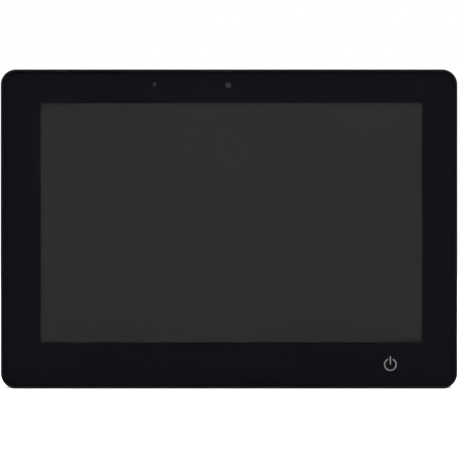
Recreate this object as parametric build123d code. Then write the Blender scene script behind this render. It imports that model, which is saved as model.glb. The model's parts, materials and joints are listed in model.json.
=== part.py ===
from build123d import *
import os
from math import cos, radians, sin, tan

# A smart home display: a touch screen behind one sheet of glass, with a camera, a touch power
# key, two volume keys, a fold-out stand and a wall-plate pattern in the back.
#
# X runs to the right as the user sees the screen, Y from the user through the screen, and Z up.
# The origin is under the middle of the body, on the surface that it stands on. Sizes are in
# millimetres. A "depth" is counted from the glass's front face towards the back. Most cuts run
# 1 mm past the faces that they open.

# ---------------------------------------------------------------- driving sizes

# Outline of the front
PANEL_W = 259.2
PANEL_H = 181.2
CORNER_R = 8.6
DEPTH = 26.0
MID_Z = PANEL_H / 2

# What shows through the glass
SCREEN_W = 216.7
SCREEN_H = 136.2
SCREEN_X = 1.35
SCREEN_Z = MID_Z + 3.65
CAMERA_X, CAMERA_Z, CAMERA_R = -0.43, 172.4, 1.75
SENSOR_X, SENSOR_Z, SENSOR_R = -42.1, 172.8, 1.3
ICON_X, ICON_Z = 91.7, 13.55
ICON_R = 3.28
ICON_LINE = 0.7
ICON_GAP_HALF_ANGLE = 28.0
ICON_BAR_L = 4.75
ICON_BAR_W = 0.7

# Front stack, as depths and thicknesses
GLASS_T = 1.8
INK_GAP = 0.01
INK_T = 0.1
TAPE_T = 0.3
SEAT = GLASS_T + INK_T + TAPE_T
INK_BACK = GLASS_T + INK_T

# Front frame
FRAME_BACK = 9.0
FRAME_WALL = 2.2
LIP = 0.9
LEDGE_W = 4.5
LEDGE_BACK = SEAT + 1.2
GLASS_GAP = 0.1
FRONT_EDGE_R = 0.3
BACK_EDGE_R = 0.7

# Screen module
MODULE_SIDE = 4.5
MODULE_BOTTOM = 6.0
MODULE_FRONT = 2.5
MODULE_BACK = 6.5
CELL_T = 1.2
TRAY_T = 0.5
FILM_FRONT = MODULE_FRONT + CELL_T
GUIDE_FRONT = FILM_FRONT + 0.4
GUIDE_BACK = GUIDE_FRONT + 1.5
REFLECTOR_BACK = GUIDE_BACK + 0.2
LED_COUNT = 27

# Chassis plate and main board
PLATE_FRONT = 7.0
PLATE_BACK = 8.0
PLATE_HALF_W = 124.4
PLATE_LOW = 22.0
PLATE_HIGH = 165.5
BOARD_FRONT = 10.4
BOARD_BACK = 12.0
BOARD_LEFT = -123.0
BOARD_RIGHT = -27.0
BOARD_LOW = 46.0
BOARD_HIGH = 138.0

# Flat cables: the deep ones pass behind the chassis plate and plug in along the board's low edge
FLEX_T = 0.15
FLEX_LOW_DEPTH = 8.3
FLEX_BACK = FLEX_LOW_DEPTH + 0.8
FLEX_PLUG_Z = BOARD_LOW + 3.5

# Rear cover
COVER_INSET = 1.5
COVER_WALL = 2.2
COVER_EDGE_R = 6.0
RIM = 0.35
COVER_INNER_BACK = DEPTH - COVER_WALL
COVER_SIDE_X = PANEL_W / 2 - COVER_INSET
COVER_INNER_X = COVER_SIDE_X - COVER_WALL
BOSS_FLOOR = 19.6

# Wall-plate pattern: four M4 inserts on a 75 mm square
VESA = 75.0
INSERT_R = 2.8
INSERT_BORE_R = 1.65
INSERT_LENGTH = 8.0
PAD_SIZE = 98.0
PAD_GROOVE_W = 0.7
PAD_GROOVE_D = 0.4

# Fold-out stand
ARM_X = 62.0
ARM_W = 9.0
STAND_T = 3.6
STAND_LOW = 10.0
HINGE_Z = 110.0
HINGE_DEPTH = DEPTH - 0.2 - STAND_T / 2
HINGE_PIN_R = 1.0
HINGE_RUN = 0.05
CHANNEL_GAP = 0.5
CHANNEL_FLOOR = 22.0
STAND_OUTER_R = 10.0
STAND_INNER_R = 3.0
FOOT_PAD_L = 90.0
FOOT_PAD_T = 2.4
FOOT_PAD_IN = 2.0
FOOT_PAD_PROUD = 0.3
EAR_T = 1.2
EAR_GAP = 0.1
BRACKET_BASE_T = 0.8
BRACKET_FRONT = CHANNEL_FLOOR - 1.0
SCOOP_W = 26.0
SCOOP_H = 12.0
SCOOP_FLOOR = 21.0
STAND_EDGE_R = 0.5

# Volume keys, on the right-hand side
KEY_DEPTH = 14.5
VOLUME_UP_Z = 138.0
VOLUME_DOWN_Z = 118.0
KEY_L = 14.0
KEY_W = 3.6
KEY_PROUD = 0.7
KEY_GAP = 0.25
FLANGE_T = 1.0
FLANGE_OVER = 0.9
FLANGE_GAP = 0.1
MARK_L = 1.9
MARK_W = 0.5
MARK_D = 0.2
PLUNGER_R = 1.0
SWITCH_X = 123.4
SWITCH_T = 2.8
SWITCH_SIZE = 6.0
KEY_BOARD_T = 1.0

# Sockets, on the left-hand side
SOCKET_X = -(COVER_INNER_X - 0.3)
DC_Z = 61.5
DC_DEPTH = 15.5
DC_BORE_R = 3.15
DC_PIN_R = 1.0
USB_Z = 82.0
USB_DEPTH = 13.6
SOCKET_STEP = 1.0
SOCKET_STEP_D = 0.5

# Speakers
SPEAKER_X = 98.0
SPEAKER_Z = 30.0
SPEAKER_L = 40.0
SPEAKER_W = 24.0
SPEAKER_FRONT = 16.5
SPEAKER_BACK = 22.6

# Sensor board along the top edge
SENSOR_BOARD_FRONT = 7.5
SENSOR_BOARD_BACK = 8.3
MIC_X = 50.0
MIC_DEPTH = 6.9

# Feet under the rear cover
FOOT_X = 88.0
FOOT_L = 40.0
FOOT_FRONT = 11.0
FOOT_BACK = 19.5
FOOT_SINK = 0.6

# Fasteners: (shank radius, head radius, head height)
M2 = (1.0, 1.9, 1.1)
M25 = (1.25, 2.5, 1.8)
CROSS_W = 0.5
CROSS_D = 0.6
CROSS_SHARE = 0.6

# Screw places, as (x, z)
CASE_SCREWS = [(x, z) for x in (-118.5, 118.5) for z in (11.5, 169.5)]
SIDE_SCREWS = [(x, z) for x in (-121.5, 121.5) for z in (40.0, 146.0)]
TOP_SCREWS = [(-84.0, 171.5), (84.0, 171.5)]
LOW_SCREWS = [(-84.0, 10.5), (60.0, 10.5)]
BOARD_SCREWS = [(x, z) for x in (-118.0, -32.0) for z in (50.0, 134.0)]
SENSOR_SCREWS = [(-26.0, 172.5), (26.0, 172.5)]


# ---------------------------------------------------------------- helpers


def block(x0, x1, d0, d1, z0, z1, corner=0.0):
    """A block between two planes each way. corner rounds its edges that run front to back."""
    centre = Pos((x0 + x1) / 2, (d0 + d1 - DEPTH) / 2, (z0 + z1) / 2)
    body = centre * Box(x1 - x0, d1 - d0, z1 - z0)
    if corner:
        body = fillet(body.edges().filter_by(Axis.Y), corner)
    return body


def panel(width, height, d0, d1, x=0.0, z=MID_Z, corner=0.0):
    """A plate parallel to the screen, centred on x and z."""
    return block(x - width / 2, x + width / 2, d0, d1, z - height / 2, z + height / 2, corner)


def inset_panel(inset, d0, d1):
    """The front's own outline, drawn in by inset on every side."""
    return panel(PANEL_W - 2 * inset, PANEL_H - 2 * inset, d0, d1, corner=CORNER_R - inset)


def rod(radius, d0, d1, x, z):
    """A cylinder that runs front to back."""
    return Pos(x, (d0 + d1 - DEPTH) / 2, z) * Rot(90, 0, 0) * Cylinder(radius, d1 - d0)


def rod_x(radius, x0, x1, depth, z):
    """A cylinder that runs left to right."""
    return Pos((x0 + x1) / 2, depth - DEPTH / 2, z) * Rot(0, 90, 0) * Cylinder(radius, x1 - x0)


def through(outline, d0, d1):
    """A flat outline, drawn as (x, z), carried from one depth to another."""
    face = Plane.XZ.offset(DEPTH / 2 - d0) * outline
    return extrude(face, amount=d1 - d0, dir=(0, 1, 0))


def slot(x, z, length, width, d0, d1, turn=90):
    """A round-ended slot that runs front to back, upright unless turn is 0."""
    return through(Pos(x, z) * SlotOverall(length, width, rotation=turn), d0, d1)


def side_slot(x0, x1, depth, z, length, width):
    """A round-ended upright slot that runs left to right."""
    outline = Plane.YZ.offset(x0) * Pos(depth - DEPTH / 2, z) * SlotOverall(length, width, rotation=90)
    return extrude(outline, amount=x1 - x0)


def flared_slot(x, z, length, width, turn=90):
    """A slot through the back wall, whose rim opens at 45 degrees."""
    cut = slot(x, z, length, width, COVER_INNER_BACK - 1, DEPTH + 1, turn)
    rim_face = Plane.XZ.offset(RIM - DEPTH / 2) * Pos(x, z) * SlotOverall(length, width, rotation=turn)
    return cut + extrude(rim_face, amount=-2 * RIM, taper=-45)


def flared_hole(radius, d0, x, z):
    """A round hole from the back face down to a depth, whose rim opens at 45 degrees."""
    hole = rod(radius, d0, DEPTH + 1, x, z)
    flare = Cone(radius + 2 * RIM, radius, 2 * RIM)
    return hole + Pos(x, DEPTH / 2, z) * Rot(90, 0, 0) * flare


def screw(place, seat, tip, size):
    """A screw that goes in from the back, with a cross recess in its head."""
    x, z = place
    shank_r, head_r, head_h = size
    body = rod(shank_r, tip, seat, x, z) + rod(head_r, seat, seat + head_h, x, z)
    top = seat + head_h
    floor = top - CROSS_D
    length = 2 * head_r * CROSS_SHARE
    cross = panel(length, CROSS_W, floor, top + 1, x, z) + panel(CROSS_W, length, floor, top + 1, x, z)
    return body - cross


def flex(runs):
    """A flat flexible cable, made of the boxes that its straight runs fill."""
    body = block(*runs[0])
    for run in runs[1:]:
        body += block(*run)
    return body


def wire(points, radius, bend):
    """A round wire through (x, depth, z) points, with a tangent arc at each corner."""
    places = [(x, depth - DEPTH / 2, z) for x, depth, z in points]
    path = FilletPolyline(*places, radius=bend)
    return sweep(Plane(origin=path @ 0, z_dir=path % 0) * Circle(radius), path=path)


def group(solids):
    """Separate solids that share one node."""
    return Compound(children=[solid for solid in solids])


# ---------------------------------------------------------------- front glass


def cover_glass():
    glass = inset_panel(LIP + GLASS_GAP, 0, GLASS_T)
    return fillet(glass.faces().sort_by(Axis.Y)[0].edges(), FRONT_EDGE_R)


def power_icon(d0, d1):
    """The power sign: a ring with a gap at the top, and an upright bar from the gap to the centre."""
    ring = rod(ICON_R + ICON_LINE / 2, d0, d1, ICON_X, ICON_Z)
    ring -= rod(ICON_R - ICON_LINE / 2, d0, d1, ICON_X, ICON_Z)
    rise = 2 * ICON_R
    gap = radians(ICON_GAP_HALF_ANGLE)
    spread = rise * tan(gap)
    wedge = Polyline((0, 0), (spread, rise), (-spread, rise), close=True)
    ring -= through(Pos(ICON_X, ICON_Z) * make_face(wedge), d0, d1)
    for side in (-1, 1):
        end_x = ICON_X + side * ICON_R * sin(gap)
        ring += rod(ICON_LINE / 2, d0, d1, end_x, ICON_Z + ICON_R * cos(gap))
    return ring + slot(ICON_X, ICON_Z + ICON_BAR_L / 2, ICON_BAR_L, ICON_BAR_W, d0, d1)


def border_print():
    """The ink on the back of the glass. A hair's gap keeps the faces of the two apart."""
    ink = inset_panel(LIP + GLASS_GAP, GLASS_T + INK_GAP, INK_BACK)
    front, back = GLASS_T - 1, INK_BACK + 1
    ink -= panel(SCREEN_W, SCREEN_H, front, back, SCREEN_X, SCREEN_Z)
    ink -= rod(CAMERA_R, front, back, CAMERA_X, CAMERA_Z)
    ink -= rod(SENSOR_R, front, back, SENSOR_X, SENSOR_Z)
    return ink - power_icon(front, back)


TOUCH_OVER_X = 6.0
TOUCH_OVER_Z = 4.5
TOUCH_FLEX_X = (-110.0, -98.0)
TOUCH_FLEX_Z = (14.0, 24.0)
TAPE_GAP = 0.4


def touch_sensor():
    width, height = SCREEN_W + 2 * TOUCH_OVER_X, SCREEN_H + 2 * TOUCH_OVER_Z
    return panel(width, height, INK_BACK, SEAT, SCREEN_X, SCREEN_Z)


def touch_flex():
    left, right = TOUCH_FLEX_X
    low, high = TOUCH_FLEX_Z
    return flex([
        (left, right, SEAT, SEAT + FLEX_T, low, high),
        (left, right, SEAT, FLEX_BACK, low, low + FLEX_T),
        (left, right, FLEX_BACK - FLEX_T, FLEX_BACK, low, FLEX_PLUG_Z),
    ])


def glass_tape():
    tape = inset_panel(LIP + GLASS_GAP + TAPE_GAP, INK_BACK, SEAT)
    return tape - inset_panel(LEDGE_W - TAPE_GAP, INK_BACK - 1, SEAT + 1)


# ---------------------------------------------------------------- front frame


BOSS_HALF = 2.6
SIDE_BAND = 10.0
SCREW_BITE = 3.0
CASE_BOSS_R = 3.4
CASE_WEB_BACK = FRAME_BACK - 2
CASE_HOLE_FRONT = LEDGE_BACK + 0.4
MIC_HOLE_R = 0.6
MIC_HOLE_L = 12.0


def boss_web(x, z, back):
    """A square post that joins a screw boss to the nearest wall of the frame."""
    half = BOSS_HALF
    wall_x = PANEL_W / 2 - 1
    wall_z = PANEL_H - 1
    if x < -PLATE_HALF_W + SIDE_BAND:
        return block(-wall_x, x + half, LEDGE_BACK - 1, back, z - half, z + half)
    if x > PLATE_HALF_W - SIDE_BAND:
        return block(x - half, wall_x, LEDGE_BACK - 1, back, z - half, z + half)
    if z > MID_Z:
        return block(x - half, x + half, LEDGE_BACK - 1, back, z - half, wall_z)
    return block(x - half, x + half, LEDGE_BACK - 1, back, 1, z + half)


def front_frame():
    frame = inset_panel(0, 0, FRAME_BACK)
    frame = fillet(frame.faces().sort_by(Axis.Y)[0].edges(), FRONT_EDGE_R)
    frame = fillet(frame.faces().sort_by(Axis.Y)[-1].edges(), BACK_EDGE_R)
    frame -= inset_panel(LIP, -1, SEAT)
    frame -= inset_panel(LEDGE_W, SEAT - 1, LEDGE_BACK)
    frame -= inset_panel(FRAME_WALL, LEDGE_BACK, FRAME_BACK + 1)
    for x, z in SIDE_SCREWS + TOP_SCREWS + LOW_SCREWS:
        frame += boss_web(x, z, PLATE_FRONT)
        frame -= rod(M2[0], PLATE_FRONT - SCREW_BITE, PLATE_FRONT + 1, x, z)
    for x, z in SENSOR_SCREWS:
        frame += boss_web(x, z, SENSOR_BOARD_FRONT)
        frame -= rod(M2[0], SENSOR_BOARD_FRONT - SCREW_BITE, SENSOR_BOARD_FRONT + 1, x, z)
    for x, z in CASE_SCREWS:
        frame += boss_web(x, z, CASE_WEB_BACK)
        frame += rod(CASE_BOSS_R, LEDGE_BACK - 1, FRAME_BACK, x, z)
        frame -= rod(M25[0], CASE_HOLE_FRONT, FRAME_BACK + 1, x, z)
    for x in (-MIC_X, MIC_X):
        frame -= Pos(x, MIC_DEPTH - DEPTH / 2, PANEL_H) * Cylinder(MIC_HOLE_R, MIC_HOLE_L)
    return frame


# ---------------------------------------------------------------- screen module

MODULE_LEFT = SCREEN_X - SCREEN_W / 2 - MODULE_SIDE
MODULE_RIGHT = SCREEN_X + SCREEN_W / 2 + MODULE_SIDE
MODULE_LOW = SCREEN_Z - SCREEN_H / 2 - MODULE_BOTTOM
MODULE_HIGH = SCREEN_Z + SCREEN_H / 2 + MODULE_SIDE
MODULE_GAP = 0.1
GUIDE_OVER = 1.0
GUIDE_LEFT = SCREEN_X - SCREEN_W / 2 - GUIDE_OVER
GUIDE_RIGHT = SCREEN_X + SCREEN_W / 2 + GUIDE_OVER
GUIDE_LOW = MODULE_LOW + 4
GUIDE_HIGH = SCREEN_Z + SCREEN_H / 2 + GUIDE_OVER
LED_LOW = MODULE_LOW + 2
LED_STRIP_H = 0.8
LED_STRIP_END = 2.0
LED_END = 6.0
LED_W = 3.0
LED_H = 0.9
LED_RECESS = 0.2
FOAM_SIZE = (36.0, 9.0)
FOAM_PLACES = [(x, z) for x in (-85.0, 85.0) for z in (60.0, 150.0)]
DRIVER_T = 0.7
DRIVER_CHIP_T = 0.9
DISPLAY_FLEX_X = (-58.0, -36.0)
DISPLAY_FLEX_Z = (25.0, 31.5)


def module_block(inset, d0, d1):
    return block(
        MODULE_LEFT + inset, MODULE_RIGHT - inset, d0, d1, MODULE_LOW + inset, MODULE_HIGH - inset
    )


def lcd_cell():
    return module_block(TRAY_T + MODULE_GAP, MODULE_FRONT, FILM_FRONT)


def lcd_diffuser_films():
    return block(GUIDE_LEFT, GUIDE_RIGHT, FILM_FRONT, GUIDE_FRONT, GUIDE_LOW, GUIDE_HIGH)


def light_guide():
    return block(GUIDE_LEFT, GUIDE_RIGHT, GUIDE_FRONT, GUIDE_BACK, GUIDE_LOW, GUIDE_HIGH)


def backlight_reflector():
    return block(GUIDE_LEFT, GUIDE_RIGHT, GUIDE_BACK, REFLECTOR_BACK, LED_LOW, GUIDE_HIGH)


def backlight_led_bar():
    left, right = GUIDE_LEFT + LED_STRIP_END, GUIDE_RIGHT - LED_STRIP_END
    high = LED_LOW + LED_STRIP_H
    bar = block(left, right, GUIDE_FRONT, GUIDE_BACK, LED_LOW, high)
    pitch = (GUIDE_RIGHT - GUIDE_LEFT - 2 * LED_END) / (LED_COUNT - 1)
    front, back = GUIDE_FRONT + LED_RECESS, GUIDE_BACK - LED_RECESS
    for number in range(LED_COUNT):
        x = GUIDE_LEFT + LED_END + number * pitch
        bar += block(x - LED_W / 2, x + LED_W / 2, front, back, high, high + LED_H)
    return bar


def lcd_frame():
    ring = module_block(TRAY_T + MODULE_GAP, FILM_FRONT, MODULE_BACK - TRAY_T)
    left, right = GUIDE_LEFT - MODULE_GAP, GUIDE_RIGHT + MODULE_GAP
    return ring - block(left, right, 0, DEPTH, LED_LOW - MODULE_GAP, GUIDE_HIGH + MODULE_GAP)


def lcd_tray():
    tray = module_block(0, MODULE_FRONT + MODULE_GAP, MODULE_BACK)
    return tray - module_block(TRAY_T, 0, MODULE_BACK - TRAY_T)


def lcd_foam_pads():
    return group([panel(*FOAM_SIZE, MODULE_BACK, PLATE_FRONT, x, z) for x, z in FOAM_PLACES])


def lcd_driver_board():
    board_back = MODULE_BACK + DRIVER_T
    board = block(-70, 50, MODULE_BACK, board_back, 24, 33)
    return board + block(10, 26, board_back, board_back + DRIVER_CHIP_T, 26, 31)


def display_flex():
    left, right = DISPLAY_FLEX_X
    low, high = DISPLAY_FLEX_Z
    start = MODULE_BACK + DRIVER_T
    return flex([
        (left, right, start, start + FLEX_T, low, high),
        (left, right, start, FLEX_BACK, high - FLEX_T, high),
        (left, right, FLEX_BACK - FLEX_T, FLEX_BACK, high - FLEX_T, FLEX_PLUG_Z),
    ])


# ---------------------------------------------------------------- chassis and main board


TAB_HALF = 5.0
TAB_REACH = 3.5
NOTCH = (-73.0, 53.0)
NOTCH_TOP = 36.0
LIGHTENING_XS = (18.0, 44.0, 70.0, 96.0)
LIGHTENING_Z = 98.0
LIGHTENING_L = 60.0
LIGHTENING_W = 12.0
SCREW_GAP = 0.1
STANDOFF_R = 2.2
STANDOFF_BITE = 1.8


def chassis_plate():
    plate = block(-PLATE_HALF_W, PLATE_HALF_W, PLATE_FRONT, PLATE_BACK, PLATE_LOW, PLATE_HIGH, 3)
    for x, z in TOP_SCREWS:
        low = PLATE_HIGH - TAB_HALF
        plate += block(x - TAB_HALF, x + TAB_HALF, PLATE_FRONT, PLATE_BACK, low, z + TAB_REACH)
    for x, z in LOW_SCREWS:
        high = PLATE_LOW + TAB_HALF
        plate += block(x - TAB_HALF, x + TAB_HALF, PLATE_FRONT, PLATE_BACK, z - TAB_REACH, high)
    plate -= block(*NOTCH, 0, DEPTH, PLATE_LOW - 1, NOTCH_TOP)
    for x in LIGHTENING_XS:
        plate -= slot(x, LIGHTENING_Z, LIGHTENING_L, LIGHTENING_W, 0, DEPTH)
    for x, z in SIDE_SCREWS + TOP_SCREWS + LOW_SCREWS:
        plate -= rod(M2[0] + SCREW_GAP, 0, DEPTH, x, z)
    return plate


def chassis_screws():
    places = SIDE_SCREWS + TOP_SCREWS + LOW_SCREWS
    return group([screw(place, PLATE_BACK, PLATE_FRONT - SCREW_BITE, M2) for place in places])


def board_standoffs():
    posts = []
    for x, z in BOARD_SCREWS:
        post = rod(STANDOFF_R, PLATE_BACK, BOARD_FRONT, x, z)
        posts.append(post - rod(M2[0], 0, DEPTH, x, z))
    return group(posts)


# Cable connectors on the board's front side: (x0, x1, front, z0, z1)
FRONT_CONNECTORS = (
    (-112, -96, 9.1, BOARD_LOW + 1, BOARD_LOW + 6),
    (-60, -34.4, 9.1, BOARD_LOW + 1, BOARD_LOW + 6),
    (-56, -42, 8.5, 130, 137),
    (-42, -30, 8.5, 70, 78),
    (-42, -30, 8.8, 108, 116),
)
# Chips, coils and connectors on its back side: (x0, x1, back, z0, z1)
BACK_CHIPS = (
    (-60, -46, 13.2, 92, 106),
    (-60, -50, 13.0, 112, 122),
    (-108, -100, 13.6, 58, 66),
    (-94, -86, 15.0, 54, 62),
    (-80, -70, 14.2, 52, 60),
    (-108, -104, 13.2, 78, 88),
    (-88, -74, 15.5, 128, 134),
    (-66, -58, 14.0, BOARD_LOW + 1, BOARD_LOW + 5),
)
SOLDERED = 0.5
CAPACITOR_COUNT = 6
CAPACITOR_R = 1.6
CAPACITOR_H = 3.2
CAPACITOR_PITCH = 6.0
CAPACITOR_X, CAPACITOR_Z = -104.0, 70.0


def main_board():
    board = block(BOARD_LEFT, BOARD_RIGHT, BOARD_FRONT, BOARD_BACK, BOARD_LOW, BOARD_HIGH, 2)
    for x, z in BOARD_SCREWS:
        board -= rod(M2[0] + 2 * SCREW_GAP, 0, DEPTH, x, z)
    for x0, x1, front, z0, z1 in FRONT_CONNECTORS:
        board += block(x0, x1, front, BOARD_FRONT + SOLDERED, z0, z1)
    for x0, x1, back, z0, z1 in BACK_CHIPS:
        board += block(x0, x1, BOARD_BACK - SOLDERED, back, z0, z1)
    for number in range(CAPACITOR_COUNT):
        x = CAPACITOR_X + number * CAPACITOR_PITCH
        board += rod(CAPACITOR_R, BOARD_BACK - SOLDERED, BOARD_BACK + CAPACITOR_H, x, CAPACITOR_Z)
    return board


def board_screws():
    main = [screw(place, BOARD_BACK, BOARD_FRONT - STANDOFF_BITE, M2) for place in BOARD_SCREWS]
    tip = SENSOR_BOARD_BACK - (BOARD_BACK - BOARD_FRONT + STANDOFF_BITE)
    top = [screw(place, SENSOR_BOARD_BACK, tip, M2) for place in SENSOR_SCREWS]
    return group(main + top)


# The processor's shield, as (x0, x1, z0, z1), and what cools it
SHIELD = (-98.0, -66.0, 84.0, 116.0)
SHIELD_BACK = BOARD_BACK + 2.4
SHIELD_T = 0.3
PAD_T = 1.0
PAD_W = 20.0
SPREADER = (-110.0, -66.0, 78.0, 122.0)
SPREADER_FRONT = SHIELD_BACK + PAD_T
FIN_COUNT = 7
FIN_PITCH = 6.0
FIN_T = 1.2
FIN_BACK = SPREADER_FRONT + 3.4
FIN_MARGIN_X = 3.0
FIN_MARGIN_Z = 2.0


def processor_shield():
    x0, x1, z0, z1 = SHIELD
    can = block(x0, x1, BOARD_BACK, SHIELD_BACK, z0, z1, 1)
    wall = SHIELD_T
    return can - block(x0 + wall, x1 - wall, 0, SHIELD_BACK - wall, z0 + wall, z1 - wall)


def thermal_pad():
    x0, x1, z0, z1 = SHIELD
    return panel(PAD_W, PAD_W, SHIELD_BACK, SPREADER_FRONT, (x0 + x1) / 2, (z0 + z1) / 2)


def heat_spreader():
    x0, x1, z0, z1 = SPREADER
    plate = block(x0, x1, SPREADER_FRONT, SPREADER_FRONT + 1, z0, z1, 2)
    for number in range(FIN_COUNT):
        x = x0 + FIN_MARGIN_X + number * FIN_PITCH
        low, high = z0 + FIN_MARGIN_Z, z1 - FIN_MARGIN_Z
        plate += block(x, x + FIN_T, SPREADER_FRONT + 0.5, FIN_BACK, low, high)
    return plate


COIN_X, COIN_Z = -50.0, 78.0
COIN_R, COIN_T = 8.0, 3.2
COIN_CAN_R, COIN_RIM = 7.0, 0.6


def coin_cell():
    back = BOARD_BACK + COIN_T
    can = rod(COIN_R, BOARD_BACK, back - COIN_RIM, COIN_X, COIN_Z)
    return can + rod(COIN_CAN_R, BOARD_BACK, back, COIN_X, COIN_Z)


DC_BODY_L = 13.0
DC_BODY_HALF = 4.5
DC_BODY_BACK = DC_DEPTH + 4.0
DC_BORE_L = 9.5
USB_BODY_L = 7.4
USB_SHELL = (8.94, 3.2)
USB_MOUTH = (8.34, 2.6)
USB_MOUTH_L = 6.4
TONGUE_T = 0.7
TONGUE_W = 6.0
TONGUE_END = 7.0
SOCKET_LIP = 1.0


def dc_jack():
    low, high = DC_Z - DC_BODY_HALF, DC_Z + DC_BODY_HALF
    body = block(SOCKET_X, SOCKET_X + DC_BODY_L, BOARD_BACK, DC_BODY_BACK, low, high)
    body -= rod_x(DC_BORE_R, SOCKET_X - 1, SOCKET_X + DC_BORE_L, DC_DEPTH, DC_Z)
    pin_end = SOCKET_X + DC_BORE_L + 0.5
    return body + rod_x(DC_PIN_R, SOCKET_X + SOCKET_LIP, pin_end, DC_DEPTH, DC_Z)


def usb_c_socket():
    shell = side_slot(SOCKET_X, SOCKET_X + USB_BODY_L, USB_DEPTH, USB_Z, *USB_SHELL)
    shell -= side_slot(SOCKET_X - 1, SOCKET_X + USB_MOUTH_L, USB_DEPTH, USB_Z, *USB_MOUTH)
    left, right = SOCKET_X + SOCKET_LIP, SOCKET_X + TONGUE_END
    front, back = USB_DEPTH - TONGUE_T / 2, USB_DEPTH + TONGUE_T / 2
    return shell + block(left, right, front, back, USB_Z - TONGUE_W / 2, USB_Z + TONGUE_W / 2)


ANTENNA_X, ANTENNA_Z = 80.0, 158.0
ANTENNA_SIZE = (40.0, 10.0)
ANTENNA_FRONT = COVER_INNER_BACK - 0.4
ANTENNA_LEAD_R = 0.5


def wifi_antennas():
    xs = (-ANTENNA_X, ANTENNA_X)
    return group([panel(*ANTENNA_SIZE, ANTENNA_FRONT, COVER_INNER_BACK, x, ANTENNA_Z) for x in xs])


def antenna_leads():
    wall = ANTENNA_FRONT - ANTENNA_LEAD_R
    front = BOARD_BACK + 1
    left = [(-84, wall, 156), (-84, wall, 148), (-84, front, 142), (-84, front, 135.5)]
    right = [(84, wall, 156), (84, wall, 150), (76, front, 146), (-60, front, 146), (-64, front, 136)]
    return group([wire(left, ANTENNA_LEAD_R, 2.5), wire(right, ANTENNA_LEAD_R, 1.6)])


# ---------------------------------------------------------------- camera, sensor, microphones


CAMERA_BODY = 8.4
CAMERA_BODY_FRONT = 4.6
BARREL_R, BARREL_FRONT = 3.4, 2.3
LENS_R, LENS_FRONT, LENS_BACK = 2.3, 2.5, 3.4
CAMERA_FLEX_X = (-54.0, -44.0)
CAMERA_FLEX_Z = (132.0, 175.0)
SENSOR_BOARD_HALF_W = 56.0
SENSOR_BOARD_Z = (168.0, 177.0)
CHIP_W = 3.4
CHIP_FRONT = 6.4
LIGHT_PIPE_R = 1.5
MIC_SIZE = (4.0, 3.0)
MIC_Z = 175.0


def camera_module():
    front, back = CAMERA_BODY_FRONT, SENSOR_BOARD_FRONT
    housing = panel(CAMERA_BODY, CAMERA_BODY, front, back, CAMERA_X, CAMERA_Z, corner=0.8)
    barrel = rod(BARREL_R, BARREL_FRONT, CAMERA_BODY_FRONT + 0.4, CAMERA_X, CAMERA_Z)
    return housing + barrel - rod(LENS_R, BARREL_FRONT - 1, LENS_BACK, CAMERA_X, CAMERA_Z)


def camera_lens():
    return rod(LENS_R, LENS_FRONT, LENS_BACK, CAMERA_X, CAMERA_Z)


def camera_flex():
    back = SENSOR_BOARD_BACK
    return block(*CAMERA_FLEX_X, back, back + FLEX_T, *CAMERA_FLEX_Z)


def sensor_board():
    half, front, back = SENSOR_BOARD_HALF_W, SENSOR_BOARD_FRONT, SENSOR_BOARD_BACK
    board = block(-half, half, front, back, *SENSOR_BOARD_Z, 1)
    for x, z in SENSOR_SCREWS:
        board -= rod(M2[0] + SCREW_GAP, 0, DEPTH, x, z)
    return board


def light_sensor():
    chip = panel(CHIP_W, CHIP_W, CHIP_FRONT, SENSOR_BOARD_FRONT, SENSOR_X, SENSOR_Z)
    return chip + rod(LIGHT_PIPE_R, INK_BACK + 0.1, CHIP_FRONT + 0.1, SENSOR_X, SENSOR_Z)


def microphones():
    cans = []
    for x in (-MIC_X, MIC_X):
        cans.append(panel(*MIC_SIZE, MIC_DEPTH - 0.6, SENSOR_BOARD_FRONT, x, MIC_Z, corner=0.4))
    return group(cans)


# ---------------------------------------------------------------- power touch key


DIFFUSER_X, DIFFUSER_Z = (85.6, 97.4), (8.2, 19.6)
DIFFUSER_BACK = 4.0
KEY_PCB_X, KEY_PCB_Z = (84.6, 98.4), (7.6, 19.8)
KEY_PCB_FRONT, KEY_PCB_BACK = 4.6, 5.4
KEY_LIGHT_SIZE = (2.4, 1.4)
POWER_FLEX_X = (88.0, 92.0)
POWER_FLEX_LOW = 9.0
POWER_FLEX_TOP = 76.0
POWER_FLEX_END = -38.0


def power_key_diffuser():
    return block(*DIFFUSER_X, INK_BACK + 0.05, DIFFUSER_BACK, *DIFFUSER_Z, 1)


def power_key_board():
    board = block(*KEY_PCB_X, KEY_PCB_FRONT, KEY_PCB_BACK, *KEY_PCB_Z, 1)
    return board + panel(*KEY_LIGHT_SIZE, DIFFUSER_BACK, KEY_PCB_FRONT + 0.2, ICON_X, ICON_Z)


def power_key_flex():
    left, right = POWER_FLEX_X
    low, high = POWER_FLEX_LOW, POWER_FLEX_TOP
    width = right - left
    back = FLEX_LOW_DEPTH + FLEX_T
    return flex([
        (left, right, KEY_PCB_BACK, KEY_PCB_BACK + FLEX_T, low, low + width),
        (left, right, KEY_PCB_BACK, back, low, low + FLEX_T),
        (left, right, FLEX_LOW_DEPTH, back, low, high),
        (POWER_FLEX_END, right, FLEX_LOW_DEPTH, back, high - width, high),
    ])


# ---------------------------------------------------------------- speakers


def oval(x, length, width, d0, d1):
    return slot(x, SPEAKER_Z, length, width, d0, d1, turn=0)


BASKET_T = 1.2
MAGNET_R = 8.0
MAGNET_FRONT = SPEAKER_FRONT - 3.5
MAGNET_BACK = SPEAKER_FRONT + 1.6
CONE_INSET = 1.3
CONE_FRONT = SPEAKER_BACK - 1.4
CONE_T = 0.4
COIL_R, COIL_WALL = 5.0, 0.4
COIL_FRONT = SPEAKER_FRONT + 1.8
GASKET_W = 2.0
SPEAKER_LEAD_R = 0.6


def speaker_oval(x, inset, d0, d1):
    return oval(x, SPEAKER_L - 2 * inset, SPEAKER_W - 2 * inset, d0, d1)


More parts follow.
